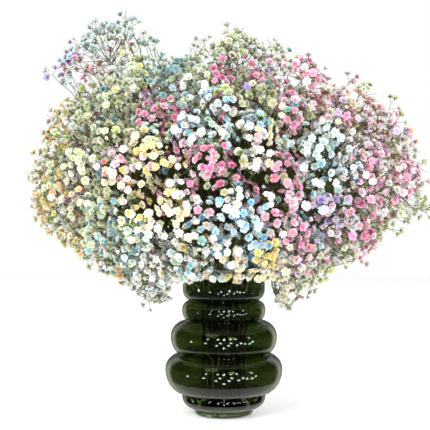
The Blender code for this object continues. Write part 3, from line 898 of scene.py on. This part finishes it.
class Growth:
    """The fine stalks, florets and buds of one spray."""

    def __init__(self, node, bouquet, settings):
        self.bouquet = bouquet
        self.rng = random.Random(SEED + int(node[-2:]))
        self.dyes = settings.dyes
        self.size = settings.florets
        self.paths = []
        self.florets = []
        for order, path in bouquet.shapes[node].paths:
            self.stem(order, path)
        for cup in bouquet.shapes[node].cups:
            away = (cup.middle - cup.foot).length
            self.cluster(cup.foot, cup.way, away, cup.radius, self.rng.randint(*FLORETS_A_CLUSTER))
        for added in bouquet.added[node]:
            self.added_cluster(*added)
        spots = [spot for spot in bouquet.spots if spot[0] == node]
        for _ in range(TWIGS_A_SPRAY if spots else 0):
            self.twig(*self.rng.choice(spots)[1:])

    def jitter(self, size):
        return Vector([self.rng.uniform(-size, size) for _ in range(3)])

    def stem(self, order, path):
        """A stem of the frame, thinner the more often it has forked."""
        first = self.size.stem_r if order == 0 else self.size.branch_r / order
        last = self.size.branch_r / (order + 1)
        self.stalk(path, first, last, 1.0, False)

    def fine_stalk(self, places, kind, age=0.0):
        first, last = THICKNESS[kind]
        self.stalk(places, self.size.pedicel_r * first, self.size.pedicel_r * last, age, True)

    def stalk(self, places, first, last, age, fine):
        """A stalk through the places, from its first radius to its last."""
        steps = len(places) - 1
        self.paths.append([(place, first + (last - first) * k / steps, age, fine)
                           for k, place in enumerate(places)])

    def twig(self, root, way):
        """A bare branch with one fork, which stays within the bouquet."""
        whole = self.rng.uniform(*TWIG_LENGTH)
        turned = (way + self.jitter(TWIG_SPREAD)).normalized()
        fork = root + turned * whole * TWIG_FORK
        ends = [fork + (turned + self.jitter(TWIG_SPREAD)).normalized() * whole * (1 - TWIG_FORK)
                for _ in range(2)]
        if any(self.bouquet.share_out(end) > TWIG_SHARE or end.z < TWIG_LOWEST for end in ends):
            return
        self.fine_stalk([root, fork, ends[0]], "twig", 1.0)
        self.fine_stalk([fork, ends[1]], "twig_fork", 1.0)

    def added_cluster(self, root, way, place, florets, spread, deep):
        """A cluster that the frame hasn't, on a curved branch."""
        bend = root + way * (place - root).length * BRANCH_BEND
        ahead, out = (place - bend).normalized(), (place - HEART).normalized()
        outward = ahead.lerp(out, BRANCH_OUTWARD).normalized()
        foot = place - outward * FILL_LENGTH
        middle_way = bend.lerp(foot, 0.5) + self.jitter(BRANCH_STRAYS)
        self.fine_stalk([root, bend, middle_way, foot], "branch", BRANCH_AGE)
        self.cluster(foot, outward, FILL_LENGTH, spread, florets, deep, added=True)

    def spot_in(self, dome, at, share, depth):
        """A place on a cluster's dome, and the direction from the cluster's middle to it."""
        foot, way, away, spread = dome
        side, other = sideways(way)
        outward = side * math.cos(at) + other * math.sin(at)
        rise = CLUSTER_DOME * (1 - share ** 2) + self.rng.uniform(*depth)
        place = foot + way * (away + rise * spread) + outward * share * spread
        if before_collar(place):
            place.z = max(place.z, OVER_COLLAR + self.rng.uniform(0.0, OVER_COLLAR_SCATTER))
        place = Vector([min(max(along, low - BOX_ROOM), high + BOX_ROOM)
                        for along, low, high in zip(place, *CAD_BOX)])
        look = way + outward * share * LOOK_OUT + self.jitter(LOOK_SCATTER)
        return place, look.normalized()

    def cluster(self, foot, way, away, spread, count, deep=False, added=False):
        """A stalk that forks into groups of florets, which fill a dome. Deep ones are plainer."""
        rng = self.rng
        dome = (foot, way, away, spread)
        head = foot + way * away + self.jitter(PATCH_SCATTER)
        mix = MIXES[min(self.bouquet.patches, key=lambda patch: (patch[0] - head).length_squared)[1]]
        main = rng.choices(list(mix), list(mix.values()))[0]
        mix = {**mix, main: mix[main] + sum(mix.values()) * MAIN_SHARE}
        fork = foot + way * away * CLUSTER_FORK + self.jitter(FORK_STRAYS)
        self.fine_stalk([foot, fork], "cluster")
        turn = rng.uniform(0, math.tau)
        spots = [((turn + k * GOLDEN) % math.tau, CLUSTER_FILL * math.sqrt((k + CLUSTER_START) / count))
                 for k in range(count)]
        spots.sort()
        for first in range(0, count, GROUP_SIZE):
            places = [self.spot_in(dome, at, share, CLUSTER_DEPTH)
                      for at, share in spots[first:first + GROUP_SIZE]]
            group_fork = fork.lerp(middle([place for place, look in places]), GROUP_FORK)
            self.fine_stalk([fork, group_fork], "group")
            for place, look in places:
                size = self.size.floret_r * rng.uniform(*SIZE_SCATTER)
                form = "plain" if deep else rng.choice(("open", "full"))
                if rng.random() < HALF_OPEN:
                    form = "half"
                    size *= HALF_OPEN_SIZE
                self.floret(group_fork, place, look, size, form, mix, straight=added)
        for _ in range(rng.randint(*BUDS_A_CLUSTER)):
            at = rng.uniform(0, math.tau)
            share = rng.uniform(*BUD_SHARE)
            place, look = self.spot_in(dome, at, share, BUD_DEPTH)
            size = self.size.floret_r * rng.uniform(*BUD_SIZE)
            self.floret(fork.lerp(place, BUD_FORK), place, look, size, "bud", mix, straight=True)

    def floret(self, start, place, look, size, form, mix, straight):
        """A floret or bud at the end of its own pedicel, straight or curved."""
        rng = self.rng
        base = place + look * CALYX_END * size
        bend = start.lerp(base, PEDICEL_BEND) - look * size * PEDICEL_SINKS + self.jitter(PEDICEL_STRAYS)
        self.fine_stalk([start, base] if straight else [start, bend, base], "pedicel")
        dye = Vector(getattr(self.dyes, rng.choices(list(mix), list(mix.values()))[0]))
        dye = dye.lerp(Vector(PALE), rng.uniform(*PALING))
        heart = HEARTS[rng.choices(list(HEARTS), list(HEART_SHARES))[0]]
        # The heart is darkened: partly its own deeper colour, partly painted shade between the layers
        heart = Vector(linear(heart)) * HEART_SHADE if heart else dye * dye * OWN_HEART_SHADE
        if form == "bud":
            heart = Vector(self.size.stalk_young)
            dye = dye.lerp(Vector(linear(DYES["lime"])), rng.uniform(*BUD_GREEN))
        # Painted shade: the deeper within the bouquet a floret lies, the darker and greener its colour; the
        # scatter on top is its own random tone
        (low, dark), (high, bright) = PAINTED_DEPTH_SHADE
        out = min(max((self.bouquet.share_out(place) - low) / (high - low), 0.0), 1.0)
        shade = (dark + (bright - dark) * out) * rng.uniform(*SHADE_SCATTER)
        dye = dye.lerp(Vector(self.size.stalk_young), (1 - out) * PAINTED_SHADE_GREEN)
        turned = Quaternion(look, rng.uniform(0, math.tau)) @ look.to_track_quat("Z", "Y")
        self.florets.append((place, turned, size, FORMS.index(form), dye * shade, heart * shade))


def attach(mesh, name, kind, values, field="value"):
    """Stores one value a corner on a mesh."""
    layer = mesh.attributes.new(name, kind, "POINT")
    layer.data.foreach_set(field, np.array(values, dtype=np.float32 if kind != "INT" else np.int32).ravel())


def paths_mesh(growth):
    """The stalks as open lines, with their radius, their age and whether they are fine."""
    corners = [corner for path in growth.paths for corner in path]
    edges = []
    first = 0
    for path in growth.paths:
        edges += [(first + k, first + k + 1) for k in range(len(path) - 1)]
        first += len(path)
    mesh = bpy.data.meshes.new("paths")
    mesh.from_pydata([place for place, *_ in corners], edges, [])
    attach(mesh, "thickness", "FLOAT", [r for _, r, _, _ in corners])
    attach(mesh, "age", "FLOAT", [age for _, _, age, _ in corners])
    attach(mesh, "fine", "FLOAT", [float(fine) for *_, fine in corners])
    return mesh


def places_mesh(growth):
    """The florets as points, with all that differs from one to the next."""
    mesh = bpy.data.meshes.new("places")
    mesh.from_pydata([floret[0] for floret in growth.florets], [], [])
    attach(mesh, "turned", "QUATERNION", [tuple(floret[1]) for floret in growth.florets])
    attach(mesh, "size", "FLOAT", [floret[2] for floret in growth.florets])
    attach(mesh, "form", "INT", [floret[3] for floret in growth.florets])
    attach(mesh, "dye", "FLOAT_COLOR", [(*floret[4], 1.0) for floret in growth.florets], "color")
    attach(mesh, "heart", "FLOAT_COLOR", [(*floret[5], 1.0) for floret in growth.florets], "color")
    attach(mesh, "cell", "FLOAT", range(len(growth.florets)))
    return mesh


def spray_tree():
    """Turns lines into stalks and points into florets with their calyxes."""
    tree = bpy.data.node_groups.new("spray", "GeometryNodeTree")
    for name, kind in (
        ("Paths", "Geometry"), ("Places", "Object"), ("Forms", "Collection"), ("Calyx", "Object"),
        ("Stem Sides", "Int"), ("Pedicel Sides", "Int"), ("Stem Step", "Float"), ("Map Columns", "Float"),
        ("Petals", "Material"), ("Stalks", "Material"),
    ):
        tree.interface.new_socket(name, in_out="INPUT", socket_type=f"NodeSocket{kind}")
    tree.interface.new_socket("Spray", in_out="OUTPUT", socket_type="NodeSocketGeometry")

    def add(kind, settings=None, values=None, output=0):
        return add_node(tree, kind, settings, values, output)

    def given(name):
        return add("NodeGroupInput", {}, {}, name)

    def named(name, kind="FLOAT"):
        return add("GeometryNodeInputNamedAttribute", {"data_type": kind}, {"Name": name})

    def compare(operation, value, limit):
        return add("FunctionNodeCompare", {"operation": operation}, {0: value, 1: limit})

    def store(geometry, name, kind, domain, value):
        return add("GeometryNodeStoreNamedAttribute", {"data_type": kind, "domain": domain}, {
            "Geometry": geometry, "Name": name, "Value": value})

    def split(vector):
        parts = add("ShaderNodeSeparateXYZ", {}, {"Vector": vector}).socket.node.outputs
        return Wire(tree, parts[0]), Wire(tree, parts[1])

    def on_map(geometry, across, up):
        place = add("ShaderNodeCombineXYZ", {}, {"X": across, "Y": up})
        return store(geometry, MAP_NAME, "FLOAT2", "CORNER", place)

    def joined(parts):
        join = tree.nodes.new("GeometryNodeJoinGeometry")
        for part in parts:
            tree.links.new(part.socket, join.inputs[0])
        return Wire(tree, join.outputs[0])

    lines = add("GeometryNodeMeshToCurve", {}, {"Mesh": given("Paths")})
    curved = add("GeometryNodeCurveSplineType", {"spline_type": "CATMULL_ROM"}, {"Curve": lines})
    fine = add("GeometryNodeSeparateGeometry", {"domain": "CURVE"}, {
        "Geometry": curved, "Selection": compare("GREATER_THAN", named("fine"), 0.5)})
    thick = add("GeometryNodeResampleCurve", {"mode": "LENGTH"}, {
        "Curve": Wire(tree, fine.socket.node.outputs["Inverted"]), "Length": given("Stem Step")})
    fine = add("GeometryNodeCurveSplineType", {"spline_type": "POLY"}, {"Curve": fine})
    parts = []
    for strip, (curves, sides) in enumerate(((thick, "Stem Sides"), (fine, "Pedicel Sides"))):
        ring = add("GeometryNodeCurvePrimitiveCircle", {}, {"Resolution": given(sides), "Radius": 1.0})
        ring = store(ring, "around", "FLOAT_VECTOR", "POINT", add("GeometryNodeInputPosition"))
        curves = store(curves, "along", "FLOAT", "POINT", add("GeometryNodeSplineParameter"))
        stalks = add("GeometryNodeCurveToMesh", {}, {
            "Curve": curves, "Profile Curve": ring, "Scale": named("thickness"), "Fill Caps": True})
        x, y = split(named("around", "FLOAT_VECTOR"))
        across = STALK_MARGIN + named("along") * (1 - 2 * STALK_MARGIN) + x * STALK_MARGIN
        parts.append(on_map(stalks, across, (strip + 0.5 + y * STRIP_HALF) * (MAP_EDGE / 2)))
    places = add("GeometryNodeObjectInfo", {}, {"Object": given("Places")}, "Geometry")
    turned = named("turned", "QUATERNION")
    flowers = add("GeometryNodeInstanceOnPoints", {}, {
        "Points": places, "Pick Instance": True, "Instance Index": named("form", "INT"), "Rotation": turned,
        "Scale": named("size"), "Instance": add("GeometryNodeCollectionInfo", {}, {
            "Collection": given("Forms"), "Separate Children": True, "Reset Children": True})})
    flowers = store(flowers, "petal", "BOOLEAN", "INSTANCE", True)
    opened = compare("LESS_THAN", named("form"), len(FORMS) - 1.5)
    calyxes = add("GeometryNodeInstanceOnPoints", {}, {
        "Points": places, "Selection": opened, "Rotation": turned, "Scale": named("size"),
        "Instance": add("GeometryNodeObjectInfo", {}, {"Object": given("Calyx")}, "Geometry")})
    real = add("GeometryNodeRealizeInstances", {}, {"Geometry": joined((flowers, calyxes))})
    x, y = split(named(MAP_NAME, "FLOAT_VECTOR"))
    cell, columns = named("cell"), given("Map Columns")
    row = (cell / columns).floor()
    column = cell - row * columns
    within = 1 - 2 * CELL_MARGIN
    across = (column + CELL_MARGIN + x * within) / columns
    up = MAP_EDGE + (row + CELL_MARGIN + y * within) / columns * (1 - MAP_EDGE)
    parts.append(on_map(real, across, up))
    green = add("GeometryNodeSetMaterial", {}, {"Geometry": joined(parts), "Material": given("Stalks")})
    dyed = add("GeometryNodeSetMaterial", {}, {
        "Geometry": green, "Selection": named("petal", "BOOLEAN"), "Material": given("Petals")})
    add("NodeGroupOutput", {}, {"Spray": dyed})
    return tree


def evaluated(name, mesh, tree, inputs):
    """The plain mesh that a tree makes of a mesh."""
    host = link(name, mesh)
    modifier = host.modifiers.new("grow", "NODES")
    modifier.node_group = tree
    for item in tree.interface.items_tree:
        if item.name in inputs:
            modifier[item.identifier] = inputs[item.name]
    depsgraph = bpy.context.evaluated_depsgraph_get()
    made = bpy.data.meshes.new_from_object(host.evaluated_get(depsgraph))
    bpy.data.objects.remove(host)
    return made


def make_sprays(settings):
    bouquet = Bouquet()
    tree = spray_tree()
    forms, calyx = make_forms()
    inputs = {
        "Forms": forms, "Calyx": calyx, "Stem Sides": settings.florets.stem_sides,
        "Pedicel Sides": settings.florets.pedicel_sides, "Stem Step": STEM_STEP,
        "Petals": petal_material(), "Stalks": stalk_material(settings.florets),
    }
    for node in SPRAYS:
        growth = Growth(node, bouquet, settings)
        places = link("places", places_mesh(growth))
        columns = math.ceil(math.sqrt(len(growth.florets)))
        inputs.update({"Places": places, "Map Columns": float(columns)})
        mesh = evaluated("paths", paths_mesh(growth), tree, inputs)
        for name in HELPERS:
            mesh.attributes.remove(mesh.attributes[name])
        mesh.name = f"{node}_blossom"
        piece = link(f"{node}_blossom", mesh)
        dress(piece, node)
        bpy.data.objects.remove(places)
    for form in list(forms.objects) + [calyx]:
        bpy.data.objects.remove(form)
    bpy.data.collections.remove(forms)


# Vase

def quarter(crease, widest):
    """A quarter of an ellipse, as (z, r): it leaves the crease level and is upright at the widest."""
    points = []
    for step in range(ARC_STEPS + 1):
        turn = math.pi / 2 * step / ARC_STEPS
        z = widest[0] + (crease[0] - widest[0]) * math.cos(turn)
        r = crease[1] + (widest[1] - crease[1]) * math.sin(turn)
        points.append((z, r))
    return points


def vase_outline():
    """Up the outer side from the foot's flat, over the round rim and down the inner side to the floor."""
    outer = [CREASES[0]]
    arcs = []
    for below, widest, above in zip(CREASES, BULGES, CREASES[1:]):
        arcs.append(quarter(below, widest)[1:] + quarter(above, widest)[-2::-1])
    arcs.append(quarter(CREASES[-1], COLLAR)[1:])
    for arc in arcs:
        outer += arc
    rim = []
    for step in range(RIM_STEPS + 1):
        turn = math.pi * step / RIM_STEPS
        rim.append((RIM_Z - WALL / 2 * (1 - math.sin(turn)), COLLAR[1] - WALL / 2 * (1 - math.cos(turn))))
    inner = [(z, r - WALL) for arc in arcs[2:] for z, r in arc]
    return outer + rim + inner[::-1] + [FLOOR]


def make_vase(settings):
    bm = bmesh.new()
    rings = []
    sides = settings.sides
    turns = [math.tau * k / sides for k in range(sides)]
    for z, r in vase_outline():
        rings.append([bm.verts.new((r * math.cos(turn), r * math.sin(turn), z)) for turn in turns])
    for low, high in zip(rings, rings[1:]):
        for k in range(sides):
            n = (k + 1) % sides
            bm.faces.new((low[k], low[n], high[n], high[k])).smooth = True
    bm.faces.new(reversed(rings[0]))
    bm.faces.new(rings[-1])
    mesh = bpy.data.meshes.new("vase_glass")
    bm.to_mesh(mesh)
    bm.free()
    mesh.materials.append(glass_material(settings))
    dress(link("vase_glass", mesh), "vase")


# Stage

def make_camera(settings):
    data = bpy.data.cameras.new("camera")
    data.lens = settings.lens
    data.sensor_width = 36.0
    camera = bpy.data.objects.new("camera", data)
    camera.location = (settings.camera_side, -settings.camera_away, settings.camera_height)
    camera.rotation_euler = (math.pi / 2, 0.0, 0.0)
    bpy.context.scene.collection.objects.link(camera)
    bpy.context.scene.camera = camera


def make_floor(settings):
    bm = bmesh.new()
    bmesh.ops.create_circle(bm, cap_ends=True, segments=96, radius=FLOOR_R)
    mesh = bpy.data.meshes.new("floor")
    bm.to_mesh(mesh)
    bm.free()
    material, tree = new_material("pale_floor")
    finish_material(tree, add_node(tree, "ShaderNodeBsdfPrincipled", {}, {
        "Base Color": (*settings.floor, 1.0), "Roughness": 0.8,
        "Emission Color": (1.0, 1.0, 1.0, 1.0), "Emission Strength": settings.floor_glow}))
    mesh.materials.append(material)
    floor = link("floor", mesh)
    floor.visible_glossy = False


def eased(tree, value, low, high):
    """Rises from 0 to 1 between two values, softly."""
    return add_node(tree, "ShaderNodeMapRange", {"interpolation_type": "SMOOTHSTEP"}, {
        "Value": value, "From Min": low, "From Max": high})


def make_world(settings):
    """White all round, softer light from the sides than from above, and a dark room before the glass."""
    world = bpy.data.worlds.new("studio")
    world.use_nodes = True
    tree = world.node_tree
    tree.nodes.clear()
    way = add_node(tree, "ShaderNodeTexCoord", {}, {}, "Generated")
    parts = add_node(tree, "ShaderNodeSeparateXYZ", {}, {"Vector": way}).socket.node.outputs
    ahead, up = Wire(tree, parts[1]), Wire(tree, parts[2])
    soft = settings.side_light + eased(tree, up, *SKY_FROM) * (settings.top_light - settings.side_light)
    room = (1.0 - eased(tree, ahead, *BACKDROP_FROM)) * (1.0 - eased(tree, up, *ROOM_TOP))
    room = room * eased(tree, up / (TURNED_FROM - ahead) ** 0.5, *TABLE_FROM)
    glow = 0.0
    for side, height in LAMPS:
        side, height = math.radians(side), math.radians(height)
        lamp = (math.sin(side) * math.cos(height), -math.cos(side) * math.cos(height), math.sin(height))
        facing = add_node(tree, "ShaderNodeVectorMath", {"operation": "DOT_PRODUCT"}, {0: way, 1: lamp}, 1)
        glow = glow + eased(tree, facing, math.cos(LAMP_WIDTH), math.cos(LAMP_WIDTH / 2))
    backdrop = 1.0 - eased(tree, ahead, *BACKDROP_FADES) * BACKDROP_DARK
    mirrored = (1.0 - room * ROOM_DARK) * backdrop + glow * LAMP_GLOW
    rays = tree.nodes.new("ShaderNodeLightPath").outputs
    bounced = Wire(tree, rays["Is Diffuse Ray"])
    shiny = Wire(tree, rays["Is Glossy Ray"])
    power = 1.0 + bounced * (soft - 1.0) + shiny * (mirrored - 1.0)
    tint = mixed(tree, shiny * eased(tree, glow, 0.0, 0.2), (1.0, 1.0, 1.0), LAMP_TINT)
    add_node(tree, "ShaderNodeOutputWorld", {}, {"Surface": add_node(
        tree, "ShaderNodeBackground", {}, {"Color": tint, "Strength": power})})
    bpy.context.scene.world = world


def make_lamp(name, place, width, power):
    """A soft round lamp that faces the bouquet and isn't mirrored in the glass."""
    data = bpy.data.lights.new(name, "AREA")
    data.shape = "DISK"
    data.size = width
    data.energy = power
    lamp = bpy.data.objects.new(name, data)
    lamp.location = place
    lamp.rotation_euler = (HEART - lamp.location).to_track_quat("-Z", "Y").to_euler()
    lamp.visible_glossy = False
    bpy.context.scene.collection.objects.link(lamp)


def make_light(settings):
    make_world(settings)
    for name, (place, width) in SOFT_LAMPS.items():
        make_lamp(name, place, width, getattr(settings, name))


def make_stage(settings):
    bpy.context.scene.view_settings.view_transform = "Standard"
    make_camera(settings)
    make_floor(settings)
    make_light(settings)


# The add-on

class BOUQUET_OT_vase(Operator):
    """Makes the glass vase"""

    bl_idname = "bouquet.vase"
    bl_label = "Make Vase"

    def execute(self, context):
        make_vase(context.scene.bouquet.vase)
        return {"FINISHED"}


class BOUQUET_OT_sprays(Operator):
    """Makes the sprays with their florets"""

    bl_idname = "bouquet.sprays"
    bl_label = "Make Sprays"

    def execute(self, context):
        make_sprays(context.scene.bouquet)
        return {"FINISHED"}


class BOUQUET_OT_stage(Operator):
    """Makes the camera, the floor and the light"""

    bl_idname = "bouquet.stage"
    bl_label = "Make Stage"

    def execute(self, context):
        make_stage(context.scene.bouquet.stage)
        return {"FINISHED"}


STEPS = (BOUQUET_OT_stage, BOUQUET_OT_vase, BOUQUET_OT_sprays)


class BOUQUET_PT_panel(Panel):
    """Lists the settings and the steps of the bouquet"""

    bl_label = "Bouquet"
    bl_idname = "BOUQUET_PT_panel"
    bl_space_type = "VIEW_3D"
    bl_region_type = "UI"
    bl_category = "Bouquet"

    def draw(self, context):
        settings = context.scene.bouquet
        for group in (settings.florets, settings.vase, settings.stage, settings.dyes):
            box = self.layout.box()
            for name in group.__annotations__:
                box.prop(group, name)
        for step in STEPS:
            self.layout.operator(step.bl_idname)


CLASSES = (
    BouquetDyes, BouquetFlorets, BouquetVase, BouquetStage, BouquetSettings, *STEPS, BOUQUET_PT_panel,
)


def register():
    for made in CLASSES:
        bpy.utils.register_class(made)
    bpy.types.Scene.bouquet = PointerProperty(type=BouquetSettings)


def unregister():
    del bpy.types.Scene.bouquet
    for made in reversed(CLASSES):
        bpy.utils.unregister_class(made)


def main():
    register()
    bpy.ops.bouquet.stage()
    bpy.ops.bouquet.vase()
    bpy.ops.bouquet.sprays()
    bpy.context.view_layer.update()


if __name__ == "__main__":
    main()
